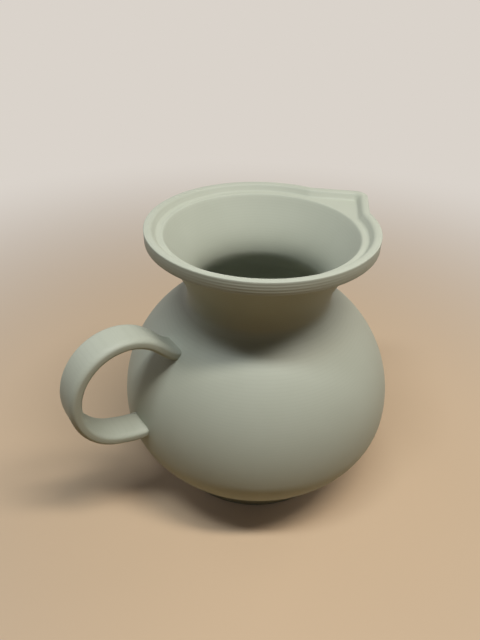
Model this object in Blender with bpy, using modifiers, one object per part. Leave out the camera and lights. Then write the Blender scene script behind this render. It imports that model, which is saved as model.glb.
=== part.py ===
"""Milk jug with a round belly, a funnel neck, a flat rim with a V-shaped pouring lip and a strap handle.

Metres, +Z up. The origin is the centre of the foot's underside, the pouring lip points along +X
and the handle stands on the -X side. The jug is divided where its form changes. Each lower piece
of the wall carries a tongue that the next piece sleeves over, and every joint keeps one bond gap.
"""

import math

import bmesh
import bpy
from mathutils import Matrix

# Overall sizes
overall_height = 0.100
wall = 0.00235
bond_gap = 0.0003
lap = 0.0030

# Foot and belly: two half ellipses that meet at the equator
foot_radius = 0.0350
base_thickness = 0.0040
belly_radius = 0.0500
equator_height = 0.0317
shoulder_rise = 0.0477
shoulder_blend = 0.0069

# Neck
waist_radius = 0.0250
waist_height = 0.0755
funnel_lean = math.radians(30)
collar_width = 0.0012
seat_width = 0.0011

# Rim band and pouring lip
rim_radius = 0.0375
band_height = 0.0042
ring_width = 0.00235
step_run = 0.0014
step_drop = 0.0025
ledge_width = 0.00205
lip_reach = 0.0094
lip_half_angle = math.radians(45)
lip_tip_round = 0.0050
lip_root_round = 0.0050

# Handle: an elliptical bow with two arms that leave it smoothly and level out towards the belly
strap_width = 0.0109
strap_thickness = 0.0039
strap_edge_round = 0.0014
strap_edge_run = 0.0022
bow_stand_off = 0.0035
bow_height = 0.0577
bow_half_reach = 0.0164
bow_half_height = 0.0182
upper_arm_angle = math.radians(132)
lower_arm_angle = math.radians(-70)
upper_seat_height = 0.0649
lower_seat_height = 0.0378
upper_seat_slope = math.radians(31)
lower_seat_slope = math.radians(7)

# Facets
turn_steps = 48
curve_points = 9
rim_points = 48
round_points = 5
bow_points = 26
edge_steps = 3
weld_distance = 0.000001
axis_weld = 0.00001

# How far each pull point of a smooth curve lies along it, as a share of its length
belly_pull = 0.45
waist_pull = 0.45
neck_pull = 0.3
mouth_pull = 0.5
arm_pull = 0.4

sage_green = (0.40, 0.42, 0.34)
print_roughness = 0.62

# Sizes that follow from the ones above
tongue = (wall - bond_gap) / 2
ledge_height = overall_height - step_drop
band_underside = overall_height - band_height
mouth_radius = rim_radius - ring_width - step_run - ledge_width
collar_radius = mouth_radius + collar_width
seat_radius = collar_radius + seat_width
lip_corner = rim_radius + lip_reach + lip_tip_round * (1 / math.sin(lip_half_angle) - 1)
bow_distance = belly_radius + bow_stand_off


def clear_scene():
    for obj in list(bpy.data.objects):
        bpy.data.objects.remove(obj, do_unlink=True)


def new_collection(name):
    made = bpy.data.collections.new(name)
    bpy.context.scene.collection.children.link(made)
    return made


def printed_plastic(name):
    material = bpy.data.materials.new(name)
    material.use_nodes = True
    shader = material.node_tree.nodes["Principled BSDF"]
    shader.inputs["Base Color"].default_value = (*sage_green, 1)
    shader.inputs["Roughness"].default_value = print_roughness
    shader.inputs["Metallic"].default_value = 0
    return material


def add_object(name, data, collection):
    obj = bpy.data.objects.new(name, data)
    collection.objects.link(obj)
    return obj


def finish_part(obj):
    obj.data.materials.append(printed_plastic(obj.name + "_plastic"))
    obj.data.shade_smooth()


def cut(obj, cutter):
    """Takes the cutter's solid out of the part. The cutter itself isn't rendered."""
    cutter.hide_render = True
    cutter.display_type = "WIRE"
    boolean = obj.modifiers.new("cut_" + cutter.name, "BOOLEAN")
    boolean.operation = "DIFFERENCE"
    boolean.solver = "EXACT"
    boolean.object = cutter


def belly_point(angle, offset):
    """A point of the belly's section at an angle up from the equator, moved outwards by offset."""
    rise = shoulder_rise if angle > 0 else equator_height
    radius = (belly_radius + offset) * math.cos(angle)
    return radius, equator_height + (rise + offset) * math.sin(angle)


def belly_angle_at_radius(radius, offset):
    return math.acos(radius / (belly_radius + offset))


def belly_angle_at_height(height, offset):
    rise = shoulder_rise if height > equator_height else equator_height
    return math.asin((height - equator_height) / (rise + offset))


def belly_run(start, end, offset):
    step = (end - start) / curve_points
    return [belly_point(start + i * step, offset) for i in range(curve_points + 1)]


def smooth_run(start, start_pull, end_pull, end):
    """Points of a cubic curve between two points, leaving and arriving towards its two pull points."""
    points = []
    for i in range(curve_points + 1):
        t = i / curve_points
        weights = ((1 - t) ** 3, 3 * t * (1 - t) ** 2, 3 * t * t * (1 - t), t**3)
        corners = (start, start_pull, end_pull, end)
        points.append(tuple(sum(w * p[k] for w, p in zip(weights, corners)) for k in (0, 1)))
    return points


def shoulder_curve(offset):
    """From the belly up to the waist: leaves along the belly's slope and arrives upright."""
    end = (waist_radius + offset, waist_height)
    angle = belly_angle_at_radius(waist_radius + shoulder_blend + offset, offset)
    start = belly_point(angle, offset)
    slope = (-(belly_radius + offset) * math.sin(angle), (shoulder_rise + offset) * math.cos(angle))
    pull = belly_pull * math.dist(start, end) / math.hypot(*slope)
    start_pull = (start[0] + pull * slope[0], start[1] + pull * slope[1])
    end_pull = (end[0], end[1] - waist_pull * (end[1] - start[1]))
    return angle, smooth_run(start, start_pull, end_pull, end)


def funnel_curve(start, end):
    """From the upright waist out to the mouth, arriving at the funnel's lean."""
    rise = end[1] - start[1]
    start_pull = (start[0], start[1] + neck_pull * rise)
    end_pull = (end[0] - mouth_pull * rise * math.tan(funnel_lean), end[1] - mouth_pull * rise)
    return smooth_run(start, start_pull, end_pull, end)


def turned(name, profile, closed, collection):
    """Turns a section about Z. It runs down the outer side and, where closed, back up the inner one."""
    mesh = bpy.data.meshes.new(name)
    count = len(profile)
    edges = [(i, i + 1) for i in range(count - 1)]
    if closed:
        edges.append((count - 1, 0))
    mesh.from_pydata([(radius, 0, height) for radius, height in profile], edges, [])
    obj = add_object(name, mesh, collection)
    screw = obj.modifiers.new("turn", "SCREW")
    screw.axis = "Z"
    screw.steps = screw.render_steps = turn_steps
    screw.use_merge_vertices = True
    screw.merge_threshold = axis_weld
    screw.use_smooth_shade = True
    return obj


def build_foot(parts):
    """A solid disc with a flat underside and a dished top that the bowl is bedded in."""
    floor = belly_angle_at_height(base_thickness - bond_gap, bond_gap)
    edge = -belly_angle_at_radius(foot_radius, bond_gap)
    profile = [(0, base_thickness - bond_gap)]
    profile += belly_run(floor, edge, bond_gap)
    profile += [(foot_radius, 0), (0, 0)]
    finish_part(turned("foot_disc", profile, False, parts))


def build_bowl(parts):
    """The closed lower half of the belly, with a flat floor and a tongue round its upper edge."""
    floor_top = base_thickness + wall
    inner_radius = belly_radius - wall
    tongue_top = equator_height + lap - bond_gap
    outer_top = equator_height - bond_gap
    profile = [(0, floor_top)]
    profile += belly_run(belly_angle_at_height(floor_top, -wall), 0, -wall)
    profile += [(inner_radius, tongue_top), (inner_radius + tongue, tongue_top)]
    profile += [(inner_radius + tongue, outer_top)]
    profile += belly_run(belly_angle_at_height(outer_top, 0), belly_angle_at_height(base_thickness, 0), 0)
    profile += [(0, base_thickness)]
    finish_part(turned("belly_bowl", profile, False, parts))


def build_shoulder(parts):
    """The upper half of the belly up to the waist. Both ends of the handle seat on it."""
    rebate = belly_radius - wall + tongue + bond_gap
    outer_angle, outer_blend = shoulder_curve(0)
    inner_angle, inner_blend = shoulder_curve(-wall)
    waist_inner = waist_radius - wall
    tongue_top = waist_height + lap - bond_gap
    outer_top = waist_height - bond_gap
    profile = [(waist_inner + tongue, tongue_top), (waist_inner + tongue, outer_top)]
    profile += [(waist_radius, outer_top)]
    profile += outer_blend[-2::-1]
    profile += belly_run(outer_angle, 0, 0)[1:]
    profile += [(rebate, equator_height), (rebate, equator_height + lap)]
    profile += belly_run(belly_angle_at_height(equator_height + lap, -wall), inner_angle, -wall)
    profile += inner_blend[1:]
    profile += [(waist_inner, tongue_top)]
    finish_part(turned("belly_shoulder", profile, True, parts))


def build_neck(parts):
    """The flaring neck. Its collar passes up through the rim band, which rests on the seat below."""
    rebate = waist_radius - wall + tongue + bond_gap
    seat_height = band_underside - bond_gap
    tongue_end = waist_height + lap
    profile = [(collar_radius, ledge_height), (collar_radius, seat_height)]
    profile += funnel_curve((waist_radius, waist_height), (seat_radius, seat_height))[::-1]
    profile += [(rebate, waist_height), (rebate, tongue_end)]
    profile += funnel_curve((waist_radius - wall, tongue_end), (mouth_radius, ledge_height))
    finish_part(turned("neck_funnel", profile, True, parts))


def arc(centre, radius, start, end, points):
    step = (end - start) / points
    angles = [start + i * step for i in range(points + 1)]
    return [(centre[0] + radius * math.cos(a), centre[1] + radius * math.sin(a)) for a in angles]


def rim_outline(inset):
    """The rim seen from above, drawn in by inset: a circle whose lip has two straight sides."""
    radius = rim_radius - inset
    normal = (math.sin(lip_half_angle), math.cos(lip_half_angle))
    side = lip_corner * normal[0] - inset
    tip_round = max(lip_tip_round - inset, lip_tip_round / 10)
    tip_centre = (side - tip_round) / normal[0]
    root_round = lip_root_round + inset
    across = side + root_round
    back = math.sqrt(max((radius + root_round) ** 2 - across**2, 0))
    root = (across * normal[0] + back * normal[1], across * normal[1] - back * normal[0])
    root_angle = math.atan2(root[1], root[0])
    side_angle = math.pi / 2 - lip_half_angle
    lip = arc((tip_centre, 0), tip_round, 0, side_angle, round_points)
    lip += arc(root, root_round, side_angle - math.pi, root_angle - math.pi, round_points)
    around = arc((0, 0), radius, root_angle, 2 * math.pi - root_angle, rim_points)
    mirrored = [(x, -y) for x, y in lip[:0:-1]]
    return lip + around[1:-1] + mirrored


def flat_piece(name, outline, thickness, edge_round, place, collection):
    """A closed flat outline given a thickness about its own plane, its edges rounded inside it."""
    curve = bpy.data.curves.new(name, "CURVE")
    curve.dimensions = "2D"
    curve.fill_mode = "BOTH"
    curve.extrude = thickness / 2 - edge_round
    curve.bevel_depth = edge_round
    curve.bevel_resolution = edge_steps
    curve.offset = -edge_round
    spline = curve.splines.new("POLY")
    spline.points.add(len(outline) - 1)
    for point, (x, y) in zip(spline.points, outline):
        point.co = (x, y, 0, 1)
    spline.use_cyclic_u = True
    source = add_object(name + "_outline", curve, collection)
    bpy.context.view_layer.update()
    graph = bpy.context.evaluated_depsgraph_get()
    mesh = bpy.data.meshes.new_from_object(source.evaluated_get(graph))
    bpy.data.objects.remove(source, do_unlink=True)
    welded = bmesh.new()
    welded.from_mesh(mesh)
    bmesh.ops.remove_doubles(welded, verts=welded.verts, dist=weld_distance)
    bmesh.ops.recalc_face_normals(welded, faces=welded.faces)
    welded.to_mesh(mesh)
    welded.free()
    obj = add_object(name, mesh, collection)
    obj.matrix_world = place
    return obj


def loft(name, lower, lower_height, upper, upper_height, collection):
    """A solid between two outlines of the same number of points."""
    count = len(lower)
    points = [(x, y, lower_height) for x, y in lower] + [(x, y, upper_height) for x, y in upper]
    faces = [tuple(range(count))[::-1], tuple(range(count, 2 * count))]
    for i in range(count):
        after = (i + 1) % count
        faces.append((i, after, count + after, count + i))
    mesh = bpy.data.meshes.new(name)
    mesh.from_pydata(points, [], faces)
    return add_object(name, mesh, collection)


def build_rim(parts, cutters):
    """A flat band with a stepped-down ledge inside its raised ring, bored for the neck's collar."""
    middle = Matrix.Translation((0, 0, overall_height - band_height / 2))
    rim = flat_piece("rim_band", rim_outline(0), band_height, 0, middle, parts)
    # The cutters run on past the band, and the step's cutter along its own slope.
    above = step_drop / 2
    step_foot = rim_outline(ring_width + step_run)
    step_head = rim_outline(ring_width - step_run * above / step_drop)
    cut(rim, loft("step_cutter", step_foot, ledge_height, step_head, overall_height + above, cutters))
    bore = collar_radius + bond_gap
    top, bottom = overall_height + above, band_underside - above
    profile = [(0, top), (bore, top), (bore, bottom), (0, bottom)]
    cut(rim, turned("bore_cutter", profile, False, cutters))
    finish_part(rim)


def bow_point(angle):
    """A point of the middle line of the handle's bow. Angle 0 is farthest out."""
    return bow_distance + bow_half_reach * math.cos(angle), bow_height + bow_half_height * math.sin(angle)


def moved(point, direction, length):
    return point[0] + direction[0] * length, point[1] + direction[1] * length


def arm_run(angle, turn, seat_height, slope):
    """An arm's middle line from the bow's end to the belly, then straight on until well inside it."""
    start = bow_point(angle)
    leave = (-turn * bow_half_reach * math.sin(angle), turn * bow_half_height * math.cos(angle))
    arrive = (-math.cos(slope), -math.sin(slope))
    seat = belly_point(belly_angle_at_height(seat_height, 0), 0)
    pull = arm_pull * math.dist(start, seat)
    start_pull = moved(start, leave, pull / math.hypot(*leave))
    run = smooth_run(start, start_pull, moved(seat, arrive, -pull), seat)
    return run[1:] + [moved(seat, arrive, strap_width)]


def strap_outline():
    """The handle seen from its side, with -X towards the left and its arms running into the belly."""
    step = (lower_arm_angle - upper_arm_angle) / bow_points
    bow = [bow_point(upper_arm_angle + i * step) for i in range(bow_points + 1)]
    upper = arm_run(upper_arm_angle, 1, upper_seat_height, upper_seat_slope)
    lower = arm_run(lower_arm_angle, -1, lower_seat_height, lower_seat_slope)
    middle = upper[::-1] + bow + lower
    outer, inner = [], []
    for i, point in enumerate(middle):
        before, after = middle[max(i - 1, 0)], middle[min(i + 1, len(middle) - 1)]
        length = math.dist(before, after)
        out = ((before[1] - after[1]) / length, (after[0] - before[0]) / length)
        outer.append(moved(point, out, strap_thickness / 2))
        inner.append(moved(point, out, -strap_thickness / 2))
    return [(-distance, height) for distance, height in outer + inner[::-1]]


def build_handle(parts, cutters):
    """A flat strap bent to a bow. Its two ends are cut to the belly and bonded on."""
    # Its edges are rounded evenly on a narrower strap, which is then stretched to its width.
    stretch = strap_edge_run / strap_edge_round
    upright = Matrix.Rotation(math.pi / 2, 4, "X") @ Matrix.Scale(stretch, 4, (0, 0, 1))
    narrow = strap_width / stretch
    handle = flat_piece("handle_strap", strap_outline(), narrow, strap_edge_round, upright, parts)
    angle, blend = shoulder_curve(bond_gap)
    profile = [(0, waist_height)] + blend[::-1]
    profile += belly_run(angle, 0, bond_gap)[1:]
    profile += belly_run(0, -math.pi / 2, bond_gap)[1:-1]
    profile += [(0, -bond_gap)]
    cut(handle, turned("seat_cutter", profile, False, cutters))
    finish_part(handle)


clear_scene()
jug = new_collection("milk_jug")
tools = new_collection("cutters")
build_foot(jug)
build_bowl(jug)
build_shoulder(jug)
build_neck(jug)
build_rim(jug, tools)
build_handle(jug, tools)
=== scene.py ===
import math

import bpy
from mathutils import Matrix, Vector


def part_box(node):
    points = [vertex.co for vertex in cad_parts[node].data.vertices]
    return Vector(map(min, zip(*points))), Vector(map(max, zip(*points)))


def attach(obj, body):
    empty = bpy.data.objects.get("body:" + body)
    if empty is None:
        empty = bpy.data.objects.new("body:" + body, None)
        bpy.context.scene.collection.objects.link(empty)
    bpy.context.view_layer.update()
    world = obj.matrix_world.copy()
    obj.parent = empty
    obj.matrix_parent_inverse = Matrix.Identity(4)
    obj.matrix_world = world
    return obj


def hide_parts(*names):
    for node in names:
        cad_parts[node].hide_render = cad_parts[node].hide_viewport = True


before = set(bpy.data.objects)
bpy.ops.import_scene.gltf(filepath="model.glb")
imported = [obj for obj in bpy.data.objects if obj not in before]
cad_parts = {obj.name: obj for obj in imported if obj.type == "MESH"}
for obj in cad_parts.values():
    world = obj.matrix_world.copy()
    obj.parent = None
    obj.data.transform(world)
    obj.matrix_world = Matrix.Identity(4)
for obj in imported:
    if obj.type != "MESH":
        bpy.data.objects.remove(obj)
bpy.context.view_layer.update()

print("frame loaded:", ", ".join(sorted(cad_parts)))

# Sizes are in metres. What the solids carry is read from their boxes.
mm = 0.001
bowlLow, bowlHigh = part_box("belly_bowl")
footLow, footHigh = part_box("foot_disc")
rimLow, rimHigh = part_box("rim_band")
strapLow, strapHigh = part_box("handle_strap")

jug = {
    "wall": 2.35 * mm,
    "turnSteps": 192,            # facets round the axis, alike on every turned piece
    "weld": 0.002 * mm,
    "smoothUnder": math.radians(40),
}


def deselectAll():
    if bpy.context.object and bpy.context.object.mode != "OBJECT":
        bpy.ops.object.mode_set(mode="OBJECT")
    bpy.ops.object.select_all(action="DESELECT")


def startPiece(name):
    # a new mesh in edit mode, holding one selected vertex at the origin
    deselectAll()
    bpy.ops.mesh.primitive_plane_add(size=1 * mm, location=(0, 0, 0))
    piece = bpy.context.object
    piece.name = piece.data.name = name
    bpy.ops.object.mode_set(mode="EDIT")
    bpy.ops.mesh.merge(type="CENTER")
    return piece


def drawLine(points):
    # moves the selected vertex to the first point, then extrudes it from point to point
    at = Vector((0, 0, 0))
    for index, point in enumerate(points):
        step = Vector(point) - at
        if index == 0:
            bpy.ops.transform.translate(value=step)
        else:
            bpy.ops.mesh.extrude_region_move(TRANSFORM_OT_translate={"value": step})
        at = Vector(point)


def closePiece(piece):
    # merges doubles, turns the faces outwards and shades the piece
    bpy.ops.mesh.select_all(action="SELECT")
    bpy.ops.mesh.remove_doubles(threshold=jug["weld"])
    bpy.ops.mesh.normals_make_consistent(inside=False)
    bpy.ops.object.mode_set(mode="OBJECT")
    bpy.ops.object.shade_smooth_by_angle(angle=jug["smoothUnder"])


def spinProfile(name, profile):
    # draws a closed section from (radius, height) points and spins it about the jug's axis
    piece = startPiece(name)
    drawLine([(radius, 0, height) for radius, height in profile])
    bpy.ops.mesh.select_all(action="SELECT")
    bpy.ops.mesh.spin(steps=jug["turnSteps"], angle=math.tau, center=(0, 0, 0), axis=(0, 0, 1))
    closePiece(piece)
    return piece


def stand(piece, node, material):
    # the piece stands for one solid of the frame and takes that solid's slot
    piece.data.materials.clear()
    piece.data.materials.append(material)
    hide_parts(node)
    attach(piece, "root")
    print("made", piece.name, "with", len(piece.data.polygons), "faces")


def roundRun(centre, radius, start, end, steps):
    angles = [start + (end - start) * i / steps for i in range(steps + 1)]
    return [(centre[0] + radius * math.cos(a), centre[1] + radius * math.sin(a)) for a in angles]


def pulledRun(corners, steps):
    # a cubic curve from the first corner to the last, pulled by the two between them
    run = []
    for i in range(steps + 1):
        t = i / steps
        weights = ((1 - t) ** 3, 3 * t * (1 - t) ** 2, 3 * t * t * (1 - t), t ** 3)
        run.append(tuple(sum(w * c[k] for w, c in zip(weights, corners)) for k in (0, 1)))
    return run


# Printed sage green plastic: PLA filament laid down in level layers. It gives the eye a chalky, nearly
# matt surface with fine level ridges, slow bands where layers differ, and printed lines on level tops.
plastic = {
    "green": "#AAAE9E",
    "pale": "#B0B4A5",
    # painted shade: a darker green laid into the foot of each layer ridge and printed line
    "paintedShadeColour": "#A0A494",
    "ior": 1.46,
    "roughness": 0.56,
    "layerShown": 0.9 * mm,      # real layers are 0.2 mm, too fine for the picture, so drawn coarser
    "roadShown": 0.9 * mm,       # printed lines on level tops, really 0.45 mm, drawn coarser as well
    "levelFrom": 0.985,          # upward share of the normal at which layers give way
    "levelTo": 0.998,            # to printed lines
    "ridgeHeight": 0.003 * mm,
    "paintedShadeReach": 0.35,         # this share of each ridge, from its foot up, takes this much of the darker painted-shade green
    "paintedShadeShare": 0.16,         # takes this much of the groove's colour
    "mottleSize": 11 * mm,
    "mottleDetail": 3,
    "driftSize": 1.9 * mm,       # a few layers with more or less plastic in them
    "driftFlatten": 0.03,        # the drift hardly changes along a layer
    "driftDetail": 2,
    "driftShare": 1.6,
    "roughFrom": 82 * mm,        # above this height the layers stand out more
    "roughTo": 86 * mm,
    "roughGain": 7.0,
    "steepFrom": 0.3,            # but only on faces whose normal rises no more than this
    "steepTo": 0.1,
}
# Mix nodes name their number and colour sockets alike, so these are found by their place.
mixFactor = 0
mixNumber = {"from": 2, "to": 3, "result": 0}
mixColour = {"from": 6, "to": 7, "result": 2}


def sRgb(hexCode):
    # sRGB hex to the linear colour that shader sockets take
    channels = [int(hexCode[i:i + 2], 16) / 255 for i in (1, 3, 5)]
    return [c / 12.92 if c <= 0.04045 else ((c + 0.055) / 1.055) ** 2.4 for c in channels] + [1]


def addNode(tree, kind, settings=None, values=None, links=None):
    node = tree.nodes.new(kind)
    for key, value in (settings or {}).items():
        setattr(node, key, value)
    for key, value in (values or {}).items():
        node.inputs[key].default_value = value
    for key, socket in (links or {}).items():
        tree.links.new(socket, node.inputs[key])
    return node


def printedPlastic():
    material = bpy.data.materials.new("printedSagePlastic")
    material.use_nodes = True
    tree = material.node_tree
    shader = tree.nodes["Principled BSDF"]
    shader.inputs["IOR"].default_value = plastic["ior"]
    shader.inputs["Roughness"].default_value = plastic["roughness"]
    place = addNode(tree, "ShaderNodeTexCoord").outputs["Object"]
    # a Wave node runs through one cycle in tau / 20 units of its scaled length
    cycle = math.tau / 20
    layers = addNode(tree, "ShaderNodeTexWave", {"wave_type": "BANDS", "bands_direction": "Z"},
                     {"Scale": cycle / plastic["layerShown"]}, {"Vector": place})
    roads = addNode(tree, "ShaderNodeTexWave", {"wave_type": "RINGS", "rings_direction": "Z"},
                    {"Scale": cycle / plastic["roadShown"]}, {"Vector": place})
    normal = addNode(tree, "ShaderNodeNewGeometry").outputs["True Normal"]
    upward = addNode(tree, "ShaderNodeSeparateXYZ", links={"Vector": normal}).outputs["Z"]
    level = addNode(tree, "ShaderNodeMapRange", links={"Value": upward}, values={
        "From Min": plastic["levelFrom"], "From Max": plastic["levelTo"]})
    ridges = addNode(tree, "ShaderNodeMix", {"data_type": "FLOAT"}, links={
        mixFactor: level.outputs["Result"], mixNumber["from"]: layers.outputs["Fac"],
        mixNumber["to"]: roads.outputs["Fac"]}).outputs[mixNumber["result"]]
    # colour: a slow mottle of two greens, with painted shade, a darker green, in the grooves at the foot
    # of each ridge
    mottle = addNode(tree, "ShaderNodeTexNoise", links={"Vector": place}, values={
        "Scale": 1 / plastic["mottleSize"], "Detail": plastic["mottleDetail"]})
    tint = addNode(tree, "ShaderNodeMix", {"data_type": "RGBA"}, {
        mixColour["from"]: sRgb(plastic["green"]), mixColour["to"]: sRgb(plastic["pale"])},
        {mixFactor: mottle.outputs["Fac"]})
    paintedShadeMask = addNode(tree, "ShaderNodeMapRange", links={"Value": ridges}, values={
        "From Min": 0, "From Max": plastic["paintedShadeReach"], "To Min": plastic["paintedShadeShare"], "To Max": 0})
    shade = addNode(tree, "ShaderNodeMix", {"data_type": "RGBA"}, {
        mixColour["to"]: sRgb(plastic["paintedShadeColour"])}, {
        mixFactor: paintedShadeMask.outputs["Result"], mixColour["from"]: tint.outputs[mixColour["result"]]})
    tree.links.new(shade.outputs[mixColour["result"]], shader.inputs["Base Color"])
    # ridges: higher on steep faces near the rim
    lift = addNode(tree, "ShaderNodeSeparateXYZ", links={"Vector": place}).outputs["Z"]
    high = addNode(tree, "ShaderNodeMapRange", links={"Value": lift}, values={
        "From Min": plastic["roughFrom"], "From Max": plastic["roughTo"], "To Max": plastic["roughGain"]})
    steep = addNode(tree, "ShaderNodeMapRange", links={"Value": upward}, values={
        "From Min": plastic["steepFrom"], "From Max": plastic["steepTo"]})
    rough = addNode(tree, "ShaderNodeMath", {"operation": "MULTIPLY_ADD"}, {2: 1},
                    {0: high.outputs["Result"], 1: steep.outputs["Result"]})
    raised = addNode(tree, "ShaderNodeMath", {"operation": "MULTIPLY"},
                     links={0: ridges, 1: rough.outputs["Value"]})
    # drift: noise squeezed flat, so that it changes from layer to layer and hardly along one
    flattened = addNode(tree, "ShaderNodeMapping", links={"Vector": place}, values={
        "Scale": (plastic["driftFlatten"], plastic["driftFlatten"], 1)})
    drift = addNode(tree, "ShaderNodeTexNoise", links={"Vector": flattened.outputs["Vector"]}, values={
        "Scale": 1 / plastic["driftSize"], "Detail": plastic["driftDetail"]})
    height = addNode(tree, "ShaderNodeMath", {"operation": "MULTIPLY_ADD"}, {1: plastic["driftShare"]},
                     {0: drift.outputs["Fac"], 2: raised.outputs["Value"]})
    bump = addNode(tree, "ShaderNodeBump", values={"Distance": plastic["ridgeHeight"]},
                   links={"Height": height.outputs["Value"]})
    tree.links.new(bump.outputs["Normal"], shader.inputs["Normal"])
    return material


sagePlastic = printedPlastic()

# Belly: two half ellipses that meet at the widest level
belly = {
    "radius": bowlHigh[0],
    "equator": 31.7 * mm,
    "rise": 47.7 * mm,           # from the widest level to the top of the upper ellipse
    "base": 4.0 * mm,            # underside of the bowl, bedded in the foot
    "runSteps": 40,
}


def bellyPoint(angle, inset):
    # angle counts up from the widest level, inset draws the ellipse in
    height = belly["rise"] if angle > 0 else belly["equator"]
    return ((belly["radius"] - inset) * math.cos(angle),
            belly["equator"] + (height - inset) * math.sin(angle))


def bellyAngle(height, inset):
    span = belly["rise"] if height > belly["equator"] else belly["equator"]
    return math.asin((height - belly["equator"]) / (span - inset))


def bellyRun(start, end, inset):
    steps = belly["runSteps"]
    return [bellyPoint(start + (end - start) * i / steps, inset) for i in range(steps + 1)]


foot = {
    "radius": footHigh[0],
    "cove": 1.2 * mm,            # small hollow where the foot meets the belly
    "covePull": 0.75,            # how steeply it leaves the belly
    "coveSteps": 8,
    "chamfer": 0.5 * mm,
}


def makeFoot():
    top = -math.acos((foot["radius"] + foot["cove"]) / belly["radius"])
    meet = bellyPoint(top, 0)
    side = (foot["radius"], meet[1] - 2 * foot["cove"])
    slope = (meet[0] - foot["cove"], meet[1] - foot["cove"] * foot["covePull"])
    profile = [(0, belly["base"])]
    profile += bellyRun(bellyAngle(belly["base"], 0), top, 0)
    upright = (side[0], side[1] + foot["cove"])
    profile += pulledRun((meet, slope, upright, side), foot["coveSteps"])[1:]
    profile += [(foot["radius"], foot["chamfer"]), (foot["radius"] - foot["chamfer"], 0), (0, 0)]
    stand(spinProfile("footDisc", profile), "foot_disc", sagePlastic)


def makeLowerBelly():
    wall = jug["wall"]
    floor = belly["base"] + wall
    profile = [(0, floor)]
    profile += bellyRun(bellyAngle(floor, wall), 0, wall)
    profile += bellyRun(0, bellyAngle(belly["base"], 0), 0)
    profile += [(0, belly["base"])]
    stand(spinProfile("lowerBelly", profile), "belly_bowl", sagePlastic)


waist = {
    "radius": 25.0 * mm,
    "height": 75.5 * mm,
    "blend": 6.9 * mm,           # width of the hollow between belly and waist
    "pull": 0.45,
    "innerHeight": 78.3 * mm,    # inside, the narrowest ring lies higher
    "innerPull": 0.25,           # and turns in more sharply
    "runSteps": 20,
}


def shoulderRun(inset, height, pull):
    # leaves the belly along its slope and comes upright at the waist
    end = Vector((waist["radius"] - inset, height))
    angle = math.acos((end.x + waist["blend"]) / (belly["radius"] - inset))
    start = Vector(bellyPoint(angle, inset))
    slope = Vector((-(belly["radius"] - inset) * math.sin(angle),
                    (belly["rise"] - inset) * math.cos(angle)))
    leave = start + slope.normalized() * waist["pull"] * (end - start).length
    arrive = end - Vector((0, pull * (end.y - start.y)))
    return angle, pulledRun((start, leave, arrive, end), waist["runSteps"])


def innerShoulder():
    # the inner run, parted at the waist's height between the belly and the neck
    angle, run = shoulderRun(jug["wall"], waist["innerHeight"], waist["innerPull"])
    below = [point for point in run if point[1] <= waist["height"]]
    return angle, below, run[len(below) - 1:]


def makeUpperBelly():
    wall = jug["wall"]
    outerAngle, outerBlend = shoulderRun(0, waist["height"], waist["pull"])
    innerAngle, innerBlend = innerShoulder()[:2]
    profile = outerBlend[::-1]
    profile += bellyRun(outerAngle, 0, 0)[1:]
    profile += bellyRun(0, innerAngle, wall)
    profile += innerBlend[1:]
    profile += profile[:1]
    stand(spinProfile("upperBelly", profile), "belly_shoulder", sagePlastic)


rim = {
    "top": rimHigh[2],
    "under": rimLow[2],
    "radius": rimHigh[1],
    "lipTip": rimHigh[0],
    "lipTipRound": 5.0 * mm,
    "lipRootRound": 5.0 * mm,
    "lipHalfAngle": math.radians(45),
    "ringWidth": 2.35 * mm,
    "stepRun": 1.4 * mm,         # the step inside the ring slopes in this far
    "stepDrop": 2.5 * mm,        # and down this far to the ledge
    "ledgeWidth": 2.05 * mm,
    "collarWidth": 1.2 * mm,     # the neck's own share of the ledge
    "edgeRound": 0.3 * mm,       # the band's outer edges are crisp
    "innerRound": 0.7 * mm,      # those of the step inside it are softer
    "softSteps": 3,
    "levelTop": 0.999,           # faces whose normal rises this much are level
    "boreDepth": 10 * mm,
    "roundSteps": 12,
    "circleSteps": 160,
}
mouthRadius = rim["radius"] - rim["ringWidth"] - rim["stepRun"] - rim["ledgeWidth"]
collarRadius = mouthRadius + rim["collarWidth"]
ledgeHeight = rim["top"] - rim["stepDrop"]

neck = {
    "lean": math.radians(30),    # slope of the funnel at its mouth
    "leavePull": 0.3,            # how far it stays upright above the waist, as a share of its height
    "arrivePull": 0.5,           # and how far below the mouth it has its lean
    "seatWidth": 1.1 * mm,       # the outside flares this far past the collar, under the band
    "mouthRound": 1.0 * mm,      # between the funnel and the ledge
    "mouthSteps": 5,
}


def funnelRun(start, end):
    rise = end[1] - start[1]
    leave = (start[0], start[1] + neck["leavePull"] * rise)
    drop = neck["arrivePull"] * rise
    arrive = (end[0] - drop * math.tan(neck["lean"]), end[1] - drop)
    return pulledRun((start, leave, arrive, end), waist["runSteps"])


def makeNeck():
    innerBlend = innerShoulder()[2]
    profile = [(collarRadius, ledgeHeight), (collarRadius, rim["under"])]
    seat = (collarRadius + neck["seatWidth"], rim["under"])
    profile += funnelRun((waist["radius"], waist["height"]), seat)[::-1]
    profile += innerBlend
    tangent = neck["mouthRound"] * math.tan((math.pi / 2 - neck["lean"]) / 2)
    middle = (mouthRadius + tangent, ledgeHeight - neck["mouthRound"])
    edge = roundRun(middle, neck["mouthRound"], math.pi - neck["lean"], math.pi / 2, neck["mouthSteps"])
    profile += funnelRun(innerBlend[-1], edge[0])[1:] + edge[1:]
    profile += [(collarRadius, ledgeHeight)]
    stand(spinProfile("neckFunnel", profile), "neck_funnel", sagePlastic)


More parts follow.
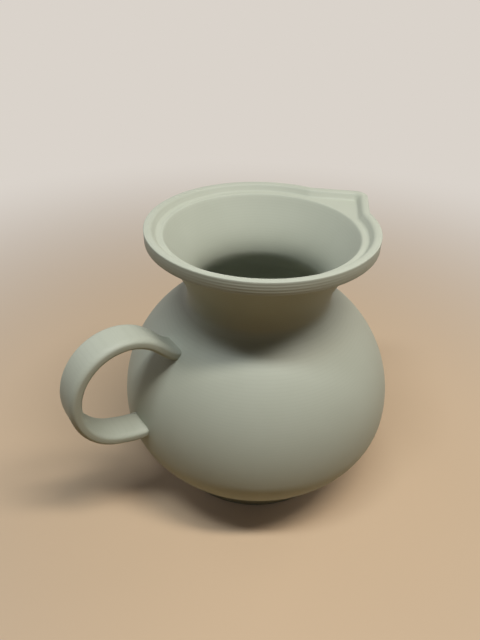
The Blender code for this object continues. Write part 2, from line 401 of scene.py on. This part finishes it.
def rimOutline():
    # half of the rim from the lip's tip round to the back, then its mirror image
    across = math.sin(rim["lipHalfAngle"])
    along = math.cos(rim["lipHalfAngle"])
    tipCentre = rim["lipTip"] - rim["lipTipRound"]
    side = tipCentre * across + rim["lipTipRound"]
    sideAngle = math.pi / 2 - rim["lipHalfAngle"]
    reach = side + rim["lipRootRound"]
    back = math.sqrt((rim["radius"] + rim["lipRootRound"]) ** 2 - reach ** 2)
    root = (reach * across + back * along, reach * along - back * across)
    rootAngle = math.atan2(root[1], root[0])
    half = roundRun((tipCentre, 0), rim["lipTipRound"], 0, sideAngle, rim["roundSteps"])
    half += roundRun(root, rim["lipRootRound"], sideAngle - math.pi, rootAngle - math.pi,
                     rim["roundSteps"])
    half += roundRun((0, 0), rim["radius"], rootAngle, math.pi, rim["circleSteps"] // 2)[1:]
    return half + [(x, -y) for x, y in half[-2:0:-1]]


def pickFaces(piece, test):
    bpy.ops.mesh.select_all(action="DESELECT")
    bpy.ops.object.mode_set(mode="OBJECT")
    for face in piece.data.polygons:
        face.select = test(face)
    bpy.ops.object.mode_set(mode="EDIT")


def soften(piece, width):
    # rounds the edges that are still sharp and goes on in edit mode
    bpy.ops.object.mode_set(mode="OBJECT")
    edges = piece.modifiers.new("softEdges", "BEVEL")
    edges.width = width
    edges.segments = rim["softSteps"]
    edges.limit_method = "ANGLE"
    edges.angle_limit = jug["smoothUnder"]
    bpy.ops.object.modifier_apply(modifier=edges.name)
    bpy.ops.object.mode_set(mode="EDIT")


def makeRim():
    piece = startPiece("rimBand")
    outline = rimOutline()
    drawLine([(x, y, rim["under"]) for x, y in outline + outline[:1]])
    bpy.ops.mesh.select_all(action="SELECT")
    bpy.ops.mesh.remove_doubles(threshold=jug["weld"])
    bpy.ops.mesh.edge_face_add()
    bpy.ops.mesh.extrude_region_move(TRANSFORM_OT_translate={"value": (0, 0, rim["top"] - rim["under"])})
    bpy.ops.mesh.select_all(action="SELECT")
    bpy.ops.mesh.normals_make_consistent(inside=False)
    soften(piece, rim["edgeRound"])
    # the ring, then the sloped step down to the ledge
    pickFaces(piece, lambda face: face.normal.z > rim["levelTop"])
    bpy.ops.mesh.inset(thickness=rim["ringWidth"] - rim["edgeRound"], use_even_offset=True)
    bpy.ops.mesh.inset(thickness=rim["stepRun"], depth=-rim["stepDrop"], use_even_offset=True)
    soften(piece, rim["innerRound"])
    # the neck's collar comes up through a bore of its own size
    deselectAll()
    bpy.ops.mesh.primitive_cylinder_add(vertices=jug["turnSteps"], radius=collarRadius,
                                        depth=rim["boreDepth"], location=(0, 0, rim["under"]))
    borer = bpy.context.object
    deselectAll()
    piece.select_set(True)
    bpy.context.view_layer.objects.active = piece
    bore = piece.modifiers.new("collarBore", "BOOLEAN")
    bore.object = borer
    bpy.ops.object.modifier_apply(modifier=bore.name)
    bpy.data.objects.remove(borer, do_unlink=True)
    bpy.ops.object.shade_smooth_by_angle(angle=jug["smoothUnder"])
    stand(piece, "rim_band", sagePlastic)


strap = {
    "width": strapHigh[1] - strapLow[1],
    "thickness": 3.89 * mm,
    "edgeRound": 1.4 * mm,           # depth of the rounded edges through the thickness
    "edgeRun": 2.2 * mm,             # and their reach across the width
    "edgeSteps": 8,
    "bowDistance": 53.5 * mm,        # from the jug's axis to the bow's centre
    "bowHeight": 57.7 * mm,
    "halfReach": 16.4 * mm,
    "halfHeight": 18.2 * mm,
    "upperArm": math.radians(132),   # where the bow ends and the arms begin
    "lowerArm": math.radians(-70),
    "upperSeat": 64.9 * mm,          # heights at which the arms meet the belly
    "lowerSeat": 37.8 * mm,
    "upperSlope": math.radians(31),  # how steeply they fall there, less than at the bow
    "lowerSlope": math.radians(7),
    "armPull": 0.4,                  # length of an arm's pulls, as a share of its own
    "sink": 1.4 * mm,                # each end goes this far into the belly's wall
    "bowSteps": 72,
    "armSteps": 14,
}


def bowStation(angle):
    # middle line of the bow and its direction of travel, from the upper arm to the lower one
    at = Vector((-strap["bowDistance"] - strap["halfReach"] * math.cos(angle), 0,
                 strap["bowHeight"] + strap["halfHeight"] * math.sin(angle)))
    travel = Vector((-strap["halfReach"] * math.sin(angle), 0, -strap["halfHeight"] * math.cos(angle)))
    return at, travel.normalized()


def armRun(at, travel, height, slope):
    # stations from the bow's end that level out a little before they go into the belly's wall
    radius = belly["radius"] * math.sqrt(1 - ((height - belly["equator"]) / belly["rise"]) ** 2)
    seat = Vector((-radius, 0, height))
    arrive = Vector((math.cos(slope), 0, -math.sin(slope)))
    pull = strap["armPull"] * (seat - at).length
    corners = [(point.x, point.z) for point in (at, at + travel * pull, seat - arrive * pull, seat)]
    run = [Vector((x, 0, z)) for x, z in pulledRun(corners, strap["armSteps"])]
    run.append(seat + arrive * strap["sink"])
    stations = [(run[i], (run[i + 1] - run[i - 1]).normalized()) for i in range(1, len(run) - 1)]
    return stations + [(run[-1], arrive)]


def makeHandle():
    steps = strap["bowSteps"]
    span = strap["lowerArm"] - strap["upperArm"]
    bow = [bowStation(strap["upperArm"] + span * i / steps) for i in range(steps + 1)]
    upper = armRun(bow[0][0], -bow[0][1], strap["upperSeat"], strap["upperSlope"])
    lower = armRun(*bow[-1], strap["lowerSeat"], strap["lowerSlope"])
    stations = [(at, -travel) for at, travel in upper[::-1]] + bow + lower
    deselectAll()
    bpy.ops.mesh.primitive_plane_add(size=1, location=(0, 0, 0))
    piece = bpy.context.object
    piece.name = piece.data.name = "strapHandle"
    bpy.ops.object.mode_set(mode="EDIT")
    # the strap's section, thin along X and wide along Y: rounded evenly while narrow, then stretched
    stretch = strap["edgeRun"] / strap["edgeRound"]
    bpy.ops.transform.resize(value=(strap["thickness"], strap["width"] / stretch, 1))
    bpy.ops.mesh.bevel(offset=strap["edgeRound"], segments=strap["edgeSteps"], affect="VERTICES")
    bpy.ops.mesh.select_all(action="SELECT")
    bpy.ops.transform.resize(value=(1, stretch, 1))
    heading, at = 0.0, Vector((0, 0, 0))
    for index, (point, travel) in enumerate(stations):
        if index:
            bpy.ops.mesh.extrude_region_move(TRANSFORM_OT_translate={"value": point - at})
        else:
            bpy.ops.transform.translate(value=point - at)
        turn = math.atan2(travel.x, travel.z) - heading
        turn = (turn + math.pi) % math.tau - math.pi
        bpy.ops.transform.rotate(value=-turn, orient_axis="Y", center_override=point)
        heading, at = heading + turn, point
    closePiece(piece)
    stand(piece, "handle_strap", sagePlastic)


makeFoot()
makeLowerBelly()
makeUpperBelly()
makeNeck()
makeRim()
makeHandle()

# Camera: a close wide view from above, at the photograph's viewing angle. The picture is 480 by 640.
view = {
    "turn": math.radians(39),        # from the lip's direction round to the picture's right
    "distance": 143.06 * mm,         # from the jug's axis
    "overRim": 63.0 * mm,
    "pitch": math.radians(35.38),
    "yaw": math.radians(-2.60),
    "roll": math.radians(-1.09),
    "lens": 36,                      # the camera's own millimetres
    "sensor": 36,
    "nearest": 1 * mm,
}


def pictureAxes():
    # right and away as the picture shows them, in the jug's frame
    right = Vector((math.cos(view["turn"]), -math.sin(view["turn"]), 0))
    away = Vector((math.sin(view["turn"]), math.cos(view["turn"]), 0))
    return right, away


def placeCamera():
    right, away = pictureAxes()
    up = Vector((0, 0, 1))
    level = right * math.sin(view["yaw"]) + away * math.cos(view["yaw"])
    forward = level * math.cos(view["pitch"]) - up * math.sin(view["pitch"])
    side = right * math.cos(view["yaw"]) - away * math.sin(view["yaw"])
    down = forward.cross(side)
    across = side * math.cos(view["roll"]) + down * math.sin(view["roll"])
    below = down * math.cos(view["roll"]) - side * math.sin(view["roll"])
    eye = -away * view["distance"] + up * (rim["top"] + view["overRim"])
    lens = bpy.data.cameras.new("photoCamera")
    lens.sensor_fit = "HORIZONTAL"
    lens.sensor_width = view["sensor"]
    lens.lens = view["lens"]
    lens.clip_start = view["nearest"]
    camera = bpy.data.objects.new("photoCamera", lens)
    bpy.context.scene.collection.objects.link(camera)
    facing = Matrix((across, -below, -forward)).transposed().to_4x4()
    camera.matrix_world = Matrix.Translation(eye) @ facing
    bpy.context.scene.camera = camera


# Stage: a plain pale floor, a long strip lamp in two halves high over the jug's front, and two weak low
# lamps, one at the right and one at the back left
stage = {
    "floor": "#CDB393",
    "floorBounce": "#8F7344",        # colour by which the floor lights the jug from below
    "floorRoughness": 0.9,
    "floorHalf": 8.0,                # metres from the middle to an edge
    "backdrop": "#DAD3CB",
    "fadeFrom": 60 * mm,             # the floor fades into the backdrop's colour from here
    "fadeTo": 400 * mm,              # to here, measured from the jug's axis
    "fadeLeast": 0.02,
    "fadeMost": 1.0,
    "ambient": "#F4F1EE",
    "ambientStrength": 0.01,
    "lampsMeet": 37 * mm,            # the lamps point at the rim's near side
    "lamps": {                       # from: right, away and up in the picture
        "stripRight": {"from": (0.365, -0.155, 1), "distance": 393 * mm,
                       "width": 220 * mm, "depth": 45 * mm, "power": 1.36, "tint": "#FFFAF4"},
        "stripLeft": {"from": (-0.19, -0.20, 1), "distance": 379 * mm,
                      "width": 190 * mm, "depth": 45 * mm, "power": 0.82, "tint": "#F2F9FF"},
        "lowRight": {"from": (0.9, 0.6, 0.42), "distance": 800 * mm,
                     "width": 500 * mm, "depth": 500 * mm, "power": 1.1, "tint": "#FFFAF4"},
        "lowBack": {"from": (-0.85, 0.5, 0.4), "distance": 800 * mm,
                    "width": 500 * mm, "depth": 500 * mm, "power": 0.83, "tint": "#F6F8FF"},
    },
}


def seenRays(tree):
    # 1 for what the camera sees, straight or in a gloss or through glass
    path = addNode(tree, "ShaderNodeLightPath")
    mirrored = addNode(tree, "ShaderNodeMath", {"operation": "MAXIMUM"}, links={
        0: path.outputs["Is Glossy Ray"], 1: path.outputs["Is Transmission Ray"]})
    return addNode(tree, "ShaderNodeMath", {"operation": "MAXIMUM"}, links={
        0: path.outputs["Is Camera Ray"], 1: mirrored.outputs["Value"]}).outputs["Value"]


def layFloor():
    deselectAll()
    bpy.ops.mesh.primitive_plane_add(size=2 * stage["floorHalf"], location=(0, 0, 0))
    floor = bpy.context.object
    floor.name = floor.data.name = "paleFloor"
    paint = bpy.data.materials.new("paleFloorPaint")
    paint.use_nodes = True
    tree = paint.node_tree
    shader = tree.nodes["Principled BSDF"]
    shader.inputs["Roughness"].default_value = stage["floorRoughness"]
    tint = addNode(tree, "ShaderNodeMix", {"data_type": "RGBA"}, {
        mixColour["from"]: sRgb(stage["floorBounce"]), mixColour["to"]: sRgb(stage["floor"])},
        {mixFactor: seenRays(tree)})
    tree.links.new(tint.outputs[mixColour["result"]], shader.inputs["Base Color"])
    glow = addNode(tree, "ShaderNodeEmission", values={"Color": sRgb(stage["backdrop"])})
    place = addNode(tree, "ShaderNodeTexCoord").outputs["Object"]
    reach = addNode(tree, "ShaderNodeVectorMath", {"operation": "LENGTH"}, links={0: place})
    fade = addNode(tree, "ShaderNodeMapRange", {"interpolation_type": "SMOOTHSTEP"}, {
        "From Min": stage["fadeFrom"], "From Max": stage["fadeTo"],
        "To Min": stage["fadeLeast"], "To Max": stage["fadeMost"]}, {"Value": reach.outputs["Value"]})
    share = addNode(tree, "ShaderNodeMath", {"operation": "MULTIPLY"}, links={
        0: fade.outputs["Result"], 1: seenRays(tree)})
    mix = addNode(tree, "ShaderNodeMixShader", links={
        0: share.outputs["Value"], 1: shader.outputs["BSDF"], 2: glow.outputs["Emission"]})
    tree.links.new(mix.outputs["Shader"], tree.nodes["Material Output"].inputs["Surface"])
    floor.data.materials.append(paint)


def lightRoom():
    world = bpy.data.worlds.new("softRoom")
    world.use_nodes = True
    tree = world.node_tree
    room = tree.nodes["Background"]
    room.inputs["Color"].default_value = sRgb(stage["ambient"])
    room.inputs["Strength"].default_value = stage["ambientStrength"]
    backdrop = addNode(tree, "ShaderNodeBackground", values={"Color": sRgb(stage["backdrop"])})
    mix = addNode(tree, "ShaderNodeMixShader", links={
        0: seenRays(tree), 1: room.outputs["Background"], 2: backdrop.outputs["Background"]})
    tree.links.new(mix.outputs["Shader"], tree.nodes["World Output"].inputs["Surface"])
    bpy.context.scene.world = world
    right, away = pictureAxes()
    target = Vector((0, 0, rim["top"])) - away * stage["lampsMeet"]
    for name, lamp in stage["lamps"].items():
        toLamp = right * lamp["from"][0] + away * lamp["from"][1] + Vector((0, 0, lamp["from"][2]))
        toLamp.normalize()
        wide = (right - toLamp * right.dot(toLamp)).normalized()
        light = bpy.data.lights.new(name, "AREA")
        light.shape = "RECTANGLE"
        light.size = lamp["width"]
        light.size_y = lamp["depth"]
        light.energy = lamp["power"]
        light.color = sRgb(lamp["tint"])[:3]
        holder = bpy.data.objects.new(name, light)
        bpy.context.scene.collection.objects.link(holder)
        facing = Matrix((wide, toLamp.cross(wide), toLamp)).transposed().to_4x4()
        holder.matrix_world = Matrix.Translation(target + toLamp * lamp["distance"]) @ facing
    bpy.context.scene.view_settings.view_transform = "Standard"


placeCamera()
layFloor()
lightRoom()
print("stage set")
